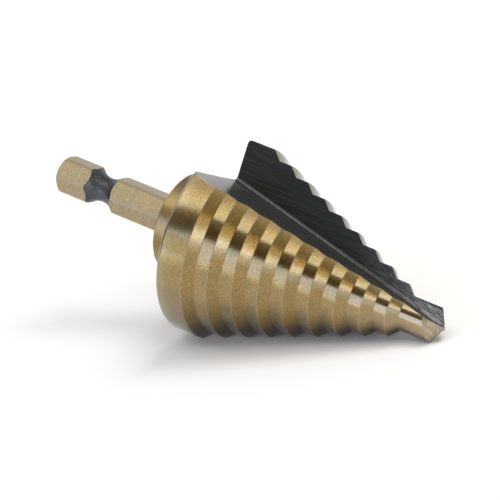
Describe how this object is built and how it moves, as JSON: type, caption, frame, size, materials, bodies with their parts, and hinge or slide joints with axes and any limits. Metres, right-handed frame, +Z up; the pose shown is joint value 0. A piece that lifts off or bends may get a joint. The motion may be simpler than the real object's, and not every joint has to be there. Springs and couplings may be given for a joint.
{
  "type": "step drill",
  "caption": "Step drill for sheet metal: a stepped cone from 1/4 in to 1-3/8 in with straight flutes, a collar and a quick-change hex shank with a ball groove.",
  "frame": {"origin": "bench level, below the middle of the tool as it lies on three of its corners", "axes": "+X along the tool towards its point, as seen from above, +Z up from the bench; the tool's own axis falls towards the point by about 17 degrees"},
  "size_m": [0.0772, 0.0344, 0.0305],
  "materials": {
    "coated_steel": "ground high-speed steel with a gold nitride coat on the lands, collar and hexagon; the flutes and the shank's groove are black oxide"
  },
  "bodies": {
    "root": {"step_drill": "coated_steel"}
  },
  "joints": []
}
